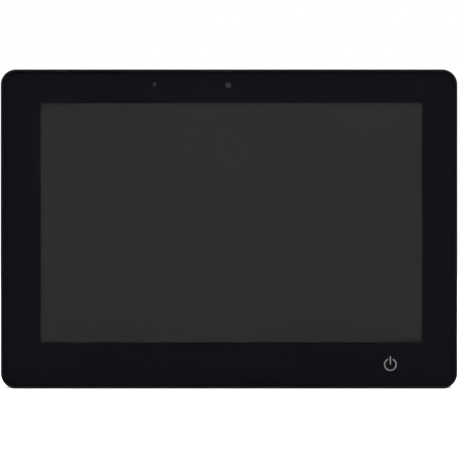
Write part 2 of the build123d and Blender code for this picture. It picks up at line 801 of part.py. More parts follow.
def speaker_frame(x):
    basket = speaker_oval(x, 0, SPEAKER_FRONT, SPEAKER_BACK)
    basket -= speaker_oval(x, BASKET_T, SPEAKER_FRONT + BASKET_T, SPEAKER_BACK + 1)
    return basket - rod(MAGNET_R, 0, DEPTH, x, SPEAKER_Z)


def speaker_magnet(x):
    return rod(MAGNET_R, MAGNET_FRONT, MAGNET_BACK, x, SPEAKER_Z)


def speaker_cone(x):
    sheet = speaker_oval(x, CONE_INSET, CONE_FRONT, CONE_FRONT + CONE_T)
    coil = rod(COIL_R, COIL_FRONT, CONE_FRONT + CONE_T / 2, x, SPEAKER_Z)
    return sheet + coil - rod(COIL_R - COIL_WALL, 0, CONE_FRONT, x, SPEAKER_Z)


def speaker_gasket(x):
    ring = speaker_oval(x, 0, SPEAKER_BACK, COVER_INNER_BACK)
    return ring - speaker_oval(x, GASKET_W, 0, DEPTH)


def both_sides(make):
    """The same piece on the left and on the right."""
    return group([make(-SPEAKER_X), make(SPEAKER_X)])


def speaker_leads():
    front = BOARD_BACK + 1.5
    back = SPEAKER_FRONT - SPEAKER_LEAD_R
    left = [(-84, back, 34), (-76, front, 37), (-66, front, 39), (-63, front, BOARD_LOW + 0.4)]
    right = [(84, back, 34), (76, front, 41), (-56, front, 41), (-60, front, BOARD_LOW + 0.4)]
    return group([wire(left, SPEAKER_LEAD_R, 2.5), wire(right, SPEAKER_LEAD_R, 2.0)])


# ---------------------------------------------------------------- fold-out stand


def stand_outline(grow, top, d0, d1):
    """The U of the stand, larger all round by grow, up to the height top."""
    half = ARM_X + ARM_W / 2 + grow
    outer = block(-half, half, d0, d1, STAND_LOW - grow, top)
    outer = fillet(outer.edges().filter_by(Axis.Y).group_by(Axis.Z)[0], STAND_OUTER_R + grow)
    half = ARM_X - ARM_W / 2 - grow
    inner = block(-half, half, d0 - 1, d1 + 1, STAND_LOW + ARM_W + grow, top + 1)
    inner = fillet(inner.edges().filter_by(Axis.Y).group_by(Axis.Z)[0], STAND_INNER_R)
    return outer - inner


def pad_groove(grow):
    """The bar of the foot pad, which stands grow below the foot of the stand."""
    front, back = HINGE_DEPTH - FOOT_PAD_T / 2, HINGE_DEPTH + FOOT_PAD_T / 2
    return block(-FOOT_PAD_L / 2, FOOT_PAD_L / 2, front, back, STAND_LOW - grow, STAND_LOW + FOOT_PAD_IN)


def stand_leg():
    leg = stand_outline(0, HINGE_Z, HINGE_DEPTH - STAND_T / 2, HINGE_DEPTH + STAND_T / 2)
    back_edges = leg.faces().sort_by(Axis.Y)[-1].edges()
    leg = fillet([edge for edge in back_edges if edge.center().Z < HINGE_Z - 1], STAND_EDGE_R)
    for x in (-ARM_X, ARM_X):
        left, right = x - ARM_W / 2, x + ARM_W / 2
        leg += rod_x(STAND_T / 2, left, right, HINGE_DEPTH, HINGE_Z)
        leg -= rod_x(HINGE_PIN_R + HINGE_RUN, left - 1, right + 1, HINGE_DEPTH, HINGE_Z)
    return leg - pad_groove(1)


def stand_foot_pad():
    return pad_groove(FOOT_PAD_PROUD)


EAR_IN = ARM_W / 2 + EAR_GAP
EAR_OUT = EAR_IN + EAR_T
EAR_R = 1.7
BRACKET_HALF_H = 6.0
BRACKET_SCREW_ZS = (HINGE_Z - 3.6, HINGE_Z + 3.6)


def hinge_bracket(x):
    base_back = BRACKET_FRONT + BRACKET_BASE_T
    low, high = HINGE_Z - BRACKET_HALF_H, HINGE_Z + BRACKET_HALF_H
    bracket = block(x - EAR_OUT, x + EAR_OUT, BRACKET_FRONT, base_back, low, high)
    for side in (-1, 1):
        inner, outer = sorted((x + side * EAR_IN, x + side * EAR_OUT))
        bracket += block(inner, outer, BRACKET_FRONT, HINGE_DEPTH, HINGE_Z - EAR_R, HINGE_Z + EAR_R)
        bracket += rod_x(EAR_R, inner, outer, HINGE_DEPTH, HINGE_Z)
        bracket -= rod_x(HINGE_PIN_R, inner - 0.1, outer + 0.1, HINGE_DEPTH, HINGE_Z)
    for z in BRACKET_SCREW_ZS:
        bracket -= rod(M2[0], 0, DEPTH, x, z)
    return bracket


def hinge_brackets():
    return group([hinge_bracket(-ARM_X), hinge_bracket(ARM_X)])


def hinge_pins():
    return group([
        rod_x(HINGE_PIN_R, x - EAR_OUT, x + EAR_OUT, HINGE_DEPTH, HINGE_Z) for x in (-ARM_X, ARM_X)
    ])


def hinge_screws():
    """Screws that go in from inside the cover, so their heads face the front."""
    shank_r, head_r, head_h = M2
    screws = []
    for x in (-ARM_X, ARM_X):
        for z in BRACKET_SCREW_ZS:
            body = rod(shank_r, BOSS_FLOOR, BRACKET_FRONT + BRACKET_BASE_T, x, z)
            screws.append(body + rod(head_r, BOSS_FLOOR - head_h, BOSS_FLOOR, x, z))
    return group(screws)


# ---------------------------------------------------------------- rear cover and its fittings

VESA_PLACES = [(x, MID_Z + z) for x in (-VESA / 2, VESA / 2) for z in (-VESA / 2, VESA / 2)]
KEY_BOARD_LOW = VOLUME_DOWN_Z - 12
KEY_BOARD_HIGH = VOLUME_UP_Z + 12
KEY_BOARD_RIGHT = SWITCH_X - SWITCH_T
CHANNEL_WALL = 2.0
CHANNEL_TOP = HINGE_Z + 2.5
SCOOP_LOW = STAND_LOW + ARM_W
SCOOP_WALL = 1.6
INSERT_POST_R = 5.0
CASE_POST_R = 4.4
CASE_SEAT = FRAME_BACK + 3
KEY_SHELF_T = 2.0
PAD_CORNER_R = 6.0
VENT_COUNT, VENT_PITCH, VENT_L, VENT_W = 10, 8.0, 14.0, 2.0
VENT_LEFT, VENT_Z = -36.0, 153.0
GRILLE_COUNT, GRILLE_PITCH, GRILLE_L, GRILLE_W = 9, 3.5, 15.0, 1.5
LABEL_W, LABEL_H = 50.0, 26.0
LABEL_FRONT, LABEL_BACK = DEPTH - 0.25, DEPTH - 0.05
LABEL_GAP = 0.2
DC_HOLE_R = DC_BORE_R + 0.6
USB_HOLE = (9.8, 4.0)


def cover_shell():
    outer = inset_panel(COVER_INSET, FRAME_BACK, DEPTH)
    outer = fillet(outer.faces().sort_by(Axis.Y)[-1].edges(), COVER_EDGE_R)
    hollow = inset_panel(COVER_INSET + COVER_WALL, FRAME_BACK - 1, COVER_INNER_BACK)
    hollow = fillet(hollow.faces().sort_by(Axis.Y)[-1].edges(), COVER_EDGE_R - COVER_WALL)
    return outer - hollow


def cover_posts():
    """What stands on the inside of the cover's back wall."""
    into_wall = COVER_INNER_BACK + 0.5
    posts = stand_outline(CHANNEL_GAP + CHANNEL_WALL, HINGE_Z + 9, BOSS_FLOOR, into_wall)
    scoop_half, scoop_top = SCOOP_W / 2 + SCOOP_WALL, SCOOP_LOW + SCOOP_H + SCOOP_WALL
    posts += block(-scoop_half, scoop_half, BOSS_FLOOR, into_wall, SCOOP_LOW, scoop_top)
    for x, z in VESA_PLACES:
        posts += rod(INSERT_POST_R, DEPTH - INSERT_LENGTH - 1.5, into_wall, x, z)
    for x, z in CASE_SCREWS:
        posts += rod(CASE_POST_R, FRAME_BACK, into_wall, x, z)
    left, right = KEY_BOARD_RIGHT - 3, COVER_INNER_X + 0.5
    for z in (KEY_BOARD_LOW - KEY_SHELF_T, KEY_BOARD_HIGH):
        posts += block(left, right, FRAME_BACK + 1, into_wall, z, z + KEY_SHELF_T)
    return posts


def stand_recess():
    """The stand's channel, the pockets of its hinge brackets and the scoop for a finger."""
    recess = stand_outline(CHANNEL_GAP, CHANNEL_TOP, CHANNEL_FLOOR, DEPTH + 1)
    half_w, half_h = EAR_OUT + 0.1, BRACKET_HALF_H + 0.1
    for x in (-ARM_X, ARM_X):
        low, high = HINGE_Z - half_h, HINGE_Z + half_h
        recess += block(x - half_w, x + half_w, BRACKET_FRONT, DEPTH + 1, low, high)
        for z in BRACKET_SCREW_ZS:
            recess += rod(M2[0] + SCREW_GAP, BOSS_FLOOR - 1, DEPTH, x, z)
    half_scoop, top = SCOOP_W / 2, SCOOP_LOW + SCOOP_H
    return recess + block(-half_scoop, half_scoop, SCOOP_FLOOR, DEPTH + 1, SCOOP_LOW, top, 2)


def wall_plate_groove():
    """The groove round the flat pad that a wall plate rests on."""
    pad = panel(PAD_SIZE, PAD_SIZE, DEPTH - PAD_GROOVE_D, DEPTH + 1, corner=PAD_CORNER_R)
    inner_size = PAD_SIZE - 2 * PAD_GROOVE_W
    return pad - panel(inner_size, inner_size, 0, DEPTH + 2, corner=PAD_CORNER_R - PAD_GROOVE_W)


def socket_holes():
    """A hole for each plug, with a shallow step round it for the plug's moulding."""
    left = -COVER_SIDE_X - 1
    step_x = -COVER_SIDE_X + SOCKET_STEP_D
    hole_l, hole_w = USB_HOLE
    holes = rod_x(DC_HOLE_R, left, SOCKET_X, DC_DEPTH, DC_Z)
    holes += rod_x(DC_HOLE_R + SOCKET_STEP, left, step_x, DC_DEPTH, DC_Z)
    holes += side_slot(left, SOCKET_X, USB_DEPTH, USB_Z, hole_l, hole_w)
    step_l, step_w = hole_l + 2 * SOCKET_STEP, hole_w + 2 * SOCKET_STEP
    return holes + side_slot(left, step_x, USB_DEPTH, USB_Z, step_l, step_w)


def rear_cover():
    cover = cover_shell() + cover_posts() - stand_recess() - wall_plate_groove() - socket_holes()
    for x, z in VESA_PLACES:
        cover -= rod(INSERT_R, DEPTH - INSERT_LENGTH, DEPTH + 1, x, z)
    for x, z in CASE_SCREWS:
        cover -= rod(M25[0] + 2 * SCREW_GAP, 0, DEPTH, x, z)
        cover -= flared_hole(M25[1] + 0.4, CASE_SEAT, x, z)
    for number in range(VENT_COUNT):
        cover -= flared_slot(VENT_LEFT + VENT_PITCH * number, VENT_Z, VENT_L, VENT_W)
    for x in (-SPEAKER_X, SPEAKER_X):
        first_x = x - GRILLE_PITCH * (GRILLE_COUNT - 1) / 2
        for number in range(GRILLE_COUNT):
            cover -= flared_slot(first_x + GRILLE_PITCH * number, SPEAKER_Z, GRILLE_L, GRILLE_W)
    cover -= panel(LABEL_W + 2 * LABEL_GAP, LABEL_H + 2 * LABEL_GAP, LABEL_FRONT, DEPTH + 1)
    for x in (-FOOT_X, FOOT_X):
        cover -= foot(x)
    for z in (VOLUME_DOWN_Z, VOLUME_UP_Z):
        cover -= key_bar(z, KEY_GAP, COVER_INNER_X - 1, COVER_SIDE_X + 1)
    return cover


def vesa_inserts():
    inserts = []
    for x, z in VESA_PLACES:
        insert = rod(INSERT_R, DEPTH - INSERT_LENGTH, DEPTH, x, z)
        inserts.append(insert - rod(INSERT_BORE_R, 0, DEPTH + 1, x, z))
    return group(inserts)


def case_screws():
    return group([screw(place, CASE_SEAT, CASE_HOLE_FRONT + 1, M25) for place in CASE_SCREWS])


def foot(x):
    return block(x - FOOT_L / 2, x + FOOT_L / 2, FOOT_FRONT, FOOT_BACK, 0, COVER_INSET + FOOT_SINK)


def bottom_feet():
    return group([foot(-FOOT_X), foot(FOOT_X)])


def rating_label():
    return panel(LABEL_W, LABEL_H, LABEL_FRONT, LABEL_BACK)


# ---------------------------------------------------------------- volume keys


def key_bar(z, grow, x0, x1):
    """The round-ended bar of a key, larger all round by grow."""
    return side_slot(x0, x1, KEY_DEPTH, z, KEY_L + 2 * grow, KEY_W + 2 * grow)


FLANGE_RIGHT = COVER_INNER_X - FLANGE_GAP
FLANGE_LEFT = FLANGE_RIGHT - FLANGE_T
KEY_EDGE_R = 0.4
PLUNGER_GAP = 0.06
SWITCH_BORE_X = SWITCH_X - 1.8
KEY_BOARD_FRONT = FRAME_BACK + 1.5
KEY_BOARD_BACK = KEY_DEPTH + 4.0
KEY_FLEX_FRONT = FLEX_LOW_DEPTH + 0.3
KEY_FLEX_JOIN = 13.0
KEY_FLEX_END = -36.0
KEY_FLEX_Z = (110.0, 114.0)


def volume_key(z, sign):
    """A key with a sunk plus or minus sign on its face."""
    face_x = COVER_SIDE_X + KEY_PROUD
    bar = key_bar(z, 0, FLANGE_LEFT, face_x)
    bar = fillet(bar.faces().sort_by(Axis.X)[-1].edges(), KEY_EDGE_R)
    mark = Pos(face_x, KEY_DEPTH - DEPTH / 2, z) * Box(2 * MARK_D, MARK_L, MARK_W)
    if sign == "plus":
        mark += Pos(face_x, KEY_DEPTH - DEPTH / 2, z) * Box(2 * MARK_D, MARK_W, MARK_L)
    return bar - mark + key_bar(z, FLANGE_OVER, FLANGE_LEFT, FLANGE_RIGHT)


def switch_plunger(z):
    return rod_x(PLUNGER_R, SWITCH_X - 1, FLANGE_LEFT, KEY_DEPTH, z)


def side_key_switches():
    bases = []
    for z in (VOLUME_DOWN_Z, VOLUME_UP_Z):
        half = SWITCH_SIZE / 2
        base = block(KEY_BOARD_RIGHT, SWITCH_X, KEY_DEPTH - half, KEY_DEPTH + half, z - half, z + half)
        bases.append(base - rod_x(PLUNGER_R + PLUNGER_GAP, SWITCH_BORE_X, SWITCH_X + 1, KEY_DEPTH, z))
    return group(bases)


def side_key_board():
    left = KEY_BOARD_RIGHT - KEY_BOARD_T
    front, back = KEY_BOARD_FRONT, KEY_BOARD_BACK
    return block(left, KEY_BOARD_RIGHT, front, back, KEY_BOARD_LOW, KEY_BOARD_HIGH)


def side_key_flex():
    right = KEY_BOARD_RIGHT - KEY_BOARD_T
    front = KEY_FLEX_FRONT
    return flex([
        (right - FLEX_T, right, front, KEY_FLEX_JOIN, *KEY_FLEX_Z),
        (KEY_FLEX_END, right, front, front + FLEX_T, *KEY_FLEX_Z),
    ])


# ---------------------------------------------------------------- export

NODES = {
    "cover_glass": cover_glass(),
    "border_print": border_print(),
    "touch_sensor": touch_sensor(),
    "touch_flex": touch_flex(),
    "glass_tape": glass_tape(),
    "front_frame": front_frame(),
    "lcd_cell": lcd_cell(),
    "lcd_diffuser_films": lcd_diffuser_films(),
    "light_guide": light_guide(),
    "backlight_reflector": backlight_reflector(),
    "backlight_led_bar": backlight_led_bar(),
    "lcd_frame": lcd_frame(),
    "lcd_tray": lcd_tray(),
    "lcd_foam_pads": lcd_foam_pads(),
    "lcd_driver_board": lcd_driver_board(),
    "display_flex": display_flex(),
    "chassis_plate": chassis_plate(),
    "chassis_screws": chassis_screws(),
    "board_standoffs": board_standoffs(),
    "main_board": main_board(),
    "board_screws": board_screws(),
    "processor_shield": processor_shield(),
    "thermal_pad": thermal_pad(),
    "heat_spreader": heat_spreader(),
    "coin_cell": coin_cell(),
    "dc_jack": dc_jack(),
    "usb_c_socket": usb_c_socket(),
    "wifi_antennas": wifi_antennas(),
    "antenna_leads": antenna_leads(),
    "camera_module": camera_module(),
    "camera_lens": camera_lens(),
    "camera_flex": camera_flex(),
    "sensor_board": sensor_board(),
    "light_sensor": light_sensor(),
    "microphones": microphones(),
    "power_key_diffuser": power_key_diffuser(),
    "power_key_board": power_key_board(),
    "power_key_flex": power_key_flex(),
    "speaker_frames": both_sides(speaker_frame),
    "speaker_magnets": both_sides(speaker_magnet),
    "speaker_cones": both_sides(speaker_cone),
    "speaker_gaskets": both_sides(speaker_gasket),
    "speaker_leads": speaker_leads(),
    "rear_cover": rear_cover(),
    "vesa_inserts": vesa_inserts(),
    "case_screws": case_screws(),
    "bottom_feet": bottom_feet(),
    "rating_label": rating_label(),
    "hinge_brackets": hinge_brackets(),
    "hinge_pins": hinge_pins(),
    "hinge_screws": hinge_screws(),
    "stand_leg": stand_leg(),
    "stand_foot_pad": stand_foot_pad(),
    "side_key_board": side_key_board(),
    "side_key_switches": side_key_switches(),
    "side_key_flex": side_key_flex(),
    "volume_up_key": volume_key(VOLUME_UP_Z, "plus"),
    "volume_up_plunger": switch_plunger(VOLUME_UP_Z),
    "volume_down_key": volume_key(VOLUME_DOWN_Z, "minus"),
    "volume_down_plunger": switch_plunger(VOLUME_DOWN_Z),
}

os.makedirs("parts", exist_ok=True)
for name, shape in NODES.items():
    export_step(shape, f"parts/{name}.step")
print(len(NODES), "nodes")
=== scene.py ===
import json
import math

import bpy
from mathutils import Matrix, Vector


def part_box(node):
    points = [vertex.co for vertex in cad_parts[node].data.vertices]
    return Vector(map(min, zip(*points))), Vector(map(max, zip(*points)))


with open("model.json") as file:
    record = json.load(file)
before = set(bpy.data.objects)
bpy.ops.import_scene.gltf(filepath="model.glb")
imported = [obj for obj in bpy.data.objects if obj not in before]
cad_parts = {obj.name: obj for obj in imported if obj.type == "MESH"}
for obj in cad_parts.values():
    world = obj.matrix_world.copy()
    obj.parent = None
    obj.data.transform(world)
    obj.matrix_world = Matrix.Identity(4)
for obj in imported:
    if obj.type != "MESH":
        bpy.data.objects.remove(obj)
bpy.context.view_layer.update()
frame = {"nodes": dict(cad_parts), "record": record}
nodes = frame["nodes"]

# A smart home display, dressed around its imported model. Everything is in metres: X runs to the
# right as the user sees the screen, Y from the user to the back, and Z up from the table.

MM = 0.001
low, high = (Vector(corner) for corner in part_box("front_frame"))
FRONT_Y = low.y
MIDDLE = Vector((0.0, 0.0, (low.z + high.z) / 2))

# ---------------------------------------------------------------- camera and stage

PANEL_SHARE = 0.9970
LENS = 180.0
FILM_W = 36.0
CAMERA_SHIFT = -0.03 * MM


def make_camera():
    """A long lens straight in front, so the panel fills the frame's width."""
    data = bpy.data.cameras.new("camera")
    data.lens = LENS
    data.sensor_width = FILM_W
    distance = (high.x - low.x) / PANEL_SHARE * LENS / FILM_W
    camera = bpy.data.objects.new("camera", data)
    camera.location = (CAMERA_SHIFT, FRONT_Y - distance, MIDDLE.z)
    camera.rotation_euler = (math.pi / 2, 0, 0)
    bpy.context.collection.objects.link(camera)
    bpy.context.scene.camera = camera


# ---------------------------------------------------------------- shader helpers


def add(tree, kind, inputs=None, **settings):
    """A new shader node. An input is given as a value or as the socket that feeds it."""
    node = tree.nodes.new(kind)
    for key, value in settings.items():
        setattr(node, key, value)
    for key, value in (inputs or {}).items():
        if isinstance(value, bpy.types.NodeSocket):
            tree.links.new(value, node.inputs[key])
        else:
            node.inputs[key].default_value = value
    return node


def start_material(name, **fixed):
    """A material with one Principled shader, whose plain values are given by socket name."""
    material = bpy.data.materials.new(name)
    material.use_nodes = True
    tree = material.node_tree
    shader = tree.nodes["Principled BSDF"]
    for key, value in fixed.items():
        shader.inputs[key.replace("_", " ")].default_value = value
    return material, tree, shader


def place(tree, stretch=(1, 1, 1)):
    """The piece's own coordinates in metres, stretched."""
    where = add(tree, "ShaderNodeTexCoord").outputs["Object"]
    return add(tree, "ShaderNodeMapping", {"Vector": where, "Scale": stretch}).outputs[0]


def noise(tree, size, detail=3.0, stretch=(1, 1, 1)):
    """Noise whose features are about size metres across."""
    inputs = {"Vector": place(tree, stretch), "Scale": 1 / size, "Detail": detail}
    return add(tree, "ShaderNodeTexNoise", inputs).outputs["Fac"]


def ranged(tree, value, start, end, to_low, to_high):
    """value from start to end becomes to_low to to_high, and no further."""
    inputs = {"Value": value, "From Min": start, "From Max": end, "To Min": to_low, "To Max": to_high}
    return add(tree, "ShaderNodeMapRange", inputs).outputs[0]


def from_noise(tree, value, to_low, to_high):
    """Noise, which mostly lies between 0.3 and 0.7, spread over a range."""
    return ranged(tree, value, 0.3, 0.7, to_low, to_high)


def blended(tree, share, first, second):
    """first where share is 0, second where it is 1."""
    inputs = {0: share, 6: first, 7: second}
    return add(tree, "ShaderNodeMix", inputs, data_type="RGBA").outputs[2]


def maths(tree, operation, first, second=0.0):
    return add(tree, "ShaderNodeMath", {0: first, 1: second}, operation=operation).outputs[0]


def flipped(tree, value):
    return maths(tree, "SUBTRACT", 1.0, value)


def away(tree, value, centre):
    """How far value is from centre, on either side."""
    return maths(tree, "ABSOLUTE", maths(tree, "SUBTRACT", value, centre))


def parts_of(tree, vector):
    """The X, Y and Z outputs of a vector."""
    return add(tree, "ShaderNodeSeparateXYZ", {0: vector}).outputs


def cell_distance(tree, size):
    """The distance to the middle of the nearest cell, with cells about size metres across."""
    inputs = {"Vector": place(tree), "Scale": 1 / size}
    return add(tree, "ShaderNodeTexVoronoi", inputs).outputs["Distance"]


def within(tree, distance, limit):
    """1 where distance is under limit, and 0 past it."""
    return ranged(tree, distance, limit, limit + SOFT_EDGE, 1, 0)


def bumped(tree, shader, height, depth, strength=1.0):
    """Lets height, from 0 to 1, stand depth metres proud."""
    inputs = {"Height": height, "Distance": depth, "Strength": strength}
    tree.links.new(add(tree, "ShaderNodeBump", inputs).outputs[0], shader.inputs["Normal"])


def shade(colour, factor):
    return tuple(min(1.0, part * factor) for part in colour[:3]) + (1.0,)


def feed(tree, source, socket):
    tree.links.new(source, socket)


# ---------------------------------------------------------------- materials

# Sizes of what shows on the surfaces
SOFT_EDGE = 0.01 * MM
CLOUD = 25 * MM
STAIN = 12 * MM
SMUDGE = 9 * MM
DUST = 6 * MM
PRINT_WEAVE = 0.3 * MM
PIXEL_PITCH = 0.17 * MM
PIXEL_GAP = 0.012 * MM
GLARE_GRAIN = 0.12 * MM
TRACK_PITCH = 1.3 * MM
TRACK_WANDER = 12 * MM
TRACK_BEND = 14 * MM
PAD_PITCH = 3.2 * MM
CABLE_PITCH = 0.8 * MM
CABLE_STAIN = 4 * MM
MILKY_STAIN = 3 * MM
SOCKET_GRAIN = 0.4 * MM
LABEL_LINE_IN = 1.5 * MM
LABEL_LINE_HALF_W = 0.12 * MM
LABEL_LINE_FADE = 0.08 * MM
BRUSH_LINE = 0.5 * MM

# The tongue of the USB-C socket, a little larger than the solid, and its contacts
TONGUE_HALF_T = 0.36 * MM
TONGUE_HALF_L = 3.05 * MM
CONTACT_PITCH = 0.5 * MM
CONTACT_PROUD = 0.05 * MM

# How far past the power socket's pin, in mm, the metal's colour reaches
PIN_MARGIN_MM = 0.02


def plastic(name, colour, rough, grain=0.5 * MM, depth=0.012 * MM, cloud=0.08, shine=0.5):
    """Moulded plastic: a fine eroded grain and a faint cloudiness."""
    material, tree, shader = start_material(name, Specular_IOR_Level=shine)
    clouds = from_noise(tree, noise(tree, CLOUD), 0, 1)
    tone = blended(tree, clouds, shade(colour, 1 - cloud), shade(colour, 1 + cloud))
    feed(tree, tone, shader.inputs["Base Color"])
    pits = noise(tree, grain, 2)
    feed(tree, from_noise(tree, pits, rough - 0.04, rough + 0.06), shader.inputs["Roughness"])
    bumped(tree, shader, pits, depth, 0.6)
    return material


def metal(name, colour, rough, brush=(1, 1, 1), grain=0.6 * MM, depth=0.004 * MM, tarnish=0.1):
    """Bare or plated metal: rolling or brushing lines, and a little tarnish."""
    material, tree, shader = start_material(name, Metallic=1.0)
    lines = noise(tree, grain, 4, brush)
    stain = ranged(tree, noise(tree, STAIN), 0.35, 0.65, 0, 1)
    tone = blended(tree, stain, shade(colour, 1 - tarnish), shade(colour, 1 + tarnish))
    feed(tree, tone, shader.inputs["Base Color"])
    feed(tree, from_noise(tree, lines, rough - 0.06, rough + 0.1), shader.inputs["Roughness"])
    bumped(tree, shader, lines, depth, 0.5)
    return material


def rubber(name, colour, rough=0.8, grain=0.35 * MM, depth=0.03 * MM):
    """Soft rubber, foam or tape: matte with fine pores."""
    material, tree, shader = start_material(name, Specular_IOR_Level=0.3)
    cells = cell_distance(tree, grain)
    dust = ranged(tree, noise(tree, DUST), 0.35, 0.7, 0, 1)
    feed(tree, blended(tree, dust, shade(colour, 0.9), shade(colour, 1.15)), shader.inputs["Base Color"])
    feed(tree, ranged(tree, cells, 0, 0.7, rough - 0.08, rough + 0.08), shader.inputs["Roughness"])
    bumped(tree, shader, cells, depth, 0.5)
    return material


def clear_sheet(name, tint, clear, gloss_rough=0.01, smear=0.015):
    """A thin clear sheet: light goes straight through it, and its outside mirrors by Fresnel. Its inside
    doesn't, since light that isn't bent on the way in would meet it too steeply and be held in."""
    material = bpy.data.materials.new(name)
    material.use_nodes = True
    tree = material.node_tree
    tree.nodes.clear()
    smudge = ranged(tree, noise(tree, SMUDGE, 4), 0.4, 0.75, gloss_rough, gloss_rough + smear)
    through = add(tree, "ShaderNodeBsdfTransparent", {"Color": tint})
    gloss = add(tree, "ShaderNodeBsdfGlossy", {"Color": (1, 1, 1, 1), "Roughness": smudge})
    facing = add(tree, "ShaderNodeFresnel", {"IOR": clear}).outputs[0]
    inside = add(tree, "ShaderNodeNewGeometry").outputs["Backfacing"]
    mirrored = maths(tree, "MULTIPLY", facing, flipped(tree, inside))
    both = add(tree, "ShaderNodeMixShader", {0: mirrored, 1: through.outputs[0], 2: gloss.outputs[0]})
    output = add(tree, "ShaderNodeOutputMaterial")
    feed(tree, both.outputs[0], output.inputs["Surface"])
    return material


def printed_ink(name, colour):
    """Smooth screen-printed ink, with the faint weave of the printing mesh."""
    material, tree, shader = start_material(name, Specular_IOR_Level=0.1)
    weave = noise(tree, PRINT_WEAVE, 1)
    feed(tree, blended(tree, weave, shade(colour, 0.96), shade(colour, 1.04)), shader.inputs["Base Color"])
    feed(tree, from_noise(tree, weave, 0.5, 0.6), shader.inputs["Roughness"])
    return material


def screen_face(name, colour):
    """A switched-off screen: dark grey, under an anti-glare polariser with a fine pixel grid."""
    material, tree, shader = start_material(name, Specular_IOR_Level=0.15)
    across = parts_of(tree, place(tree))
    column = maths(tree, "PINGPONG", across[0], PIXEL_PITCH / 2)
    row = maths(tree, "PINGPONG", across[2], PIXEL_PITCH / 2)
    edge = maths(tree, "MINIMUM", column, row)
    cell = ranged(tree, edge, 0, PIXEL_GAP, 0, 1)
    feed(tree, blended(tree, cell, shade(colour, 0.93), shade(colour, 1.01)), shader.inputs["Base Color"])
    feed(tree, from_noise(tree, noise(tree, GLARE_GRAIN, 1), 0.5, 0.62), shader.inputs["Roughness"])
    return material


def circuit_board(name, colour=(0.01, 0.13, 0.05), track=(0.03, 0.26, 0.1), tin=(0.62, 0.58, 0.45)):
    """Solder mask over copper tracks, with tinned pads."""
    material, tree, shader = start_material(name, Coat_Weight=0.4, Coat_Roughness=0.15)
    wander = maths(tree, "MULTIPLY", noise(tree, TRACK_BEND, 1), TRACK_WANDER)
    course = maths(tree, "ADD", parts_of(tree, place(tree))[0], wander)
    line = maths(tree, "PINGPONG", course, TRACK_PITCH / 2)
    tracks = ranged(tree, line, 0.16 * TRACK_PITCH, 0.22 * TRACK_PITCH, 1, 0)
    pads = ranged(tree, cell_distance(tree, PAD_PITCH), 0.12, 0.15, 1, 0)
    green = blended(tree, tracks, shade(colour, 1), shade(track, 1))
    feed(tree, blended(tree, pads, green, shade(tin, 1)), shader.inputs["Base Color"])
    feed(tree, pads, shader.inputs["Metallic"])
    feed(tree, ranged(tree, pads, 0, 1, 0.42, 0.3), shader.inputs["Roughness"])
    bumped(tree, shader, maths(tree, "MAXIMUM", tracks, pads), depth=0.03 * MM, strength=0.6)
    return material


def flat_cable(name, colour=(0.5, 0.2, 0.035), copper=(0.75, 0.36, 0.13), across_axis=0):
    """Amber film with copper tracks showing through it."""
    material, tree, shader = start_material(name, Coat_Weight=0.5, Coat_Roughness=0.2)
    part = parts_of(tree, place(tree))[across_axis]
    line = maths(tree, "PINGPONG", part, CABLE_PITCH / 2)
    tracks = ranged(tree, line, 0.2 * CABLE_PITCH, 0.28 * CABLE_PITCH, 1, 0)
    feed(tree, blended(tree, tracks, shade(colour, 1), shade(copper, 1)), shader.inputs["Base Color"])
    feed(tree, from_noise(tree, noise(tree, CABLE_STAIN), 0.3, 0.45), shader.inputs["Roughness"])
    bumped(tree, shader, tracks, depth=0.02 * MM, strength=0.5)
    return material


def milky(name, colour, rough=0.35, grain=2 * MM):
    """Milky or dotted translucent plastic."""
    material, tree, shader = start_material(name, Subsurface_Weight=0.15, Subsurface_Scale=0.002)
    spot = ranged(tree, cell_distance(tree, grain), 0.25, 0.4, 1, 0)
    feed(tree, blended(tree, spot, shade(colour, 0.97), shade(colour, 1.04)), shader.inputs["Base Color"])
    feed(tree, from_noise(tree, noise(tree, MILKY_STAIN), rough, rough + 0.1), shader.inputs["Roughness"])
    return material


def label_film(name, colour, ink=(0.03, 0.03, 0.03)):
    """A blank silver-grey label with a thin printed edge line."""
    material, tree, shader = start_material(name, Metallic=0.35)
    corner_low, corner_high = (Vector(corner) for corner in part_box("rating_label"))
    centre = (corner_low + corner_high) / 2
    half = (corner_high - corner_low) / 2
    across = parts_of(tree, place(tree))
    from_side = maths(tree, "SUBTRACT", half.x, away(tree, across[0], centre.x))
    from_end = maths(tree, "SUBTRACT", half.z, away(tree, across[2], centre.z))
    off_line = away(tree, maths(tree, "MINIMUM", from_side, from_end), LABEL_LINE_IN)
    line = ranged(tree, off_line, LABEL_LINE_HALF_W, LABEL_LINE_HALF_W + LABEL_LINE_FADE, 1, 0)
    feed(tree, blended(tree, line, shade(colour, 1), shade(ink, 1)), shader.inputs["Base Color"])
    streak = noise(tree, BRUSH_LINE, 3, (0.05, 1, 1))
    feed(tree, from_noise(tree, streak, 0.35, 0.5), shader.inputs["Roughness"])
    bumped(tree, shader, streak, depth=0.003 * MM, strength=0.4)
    return material


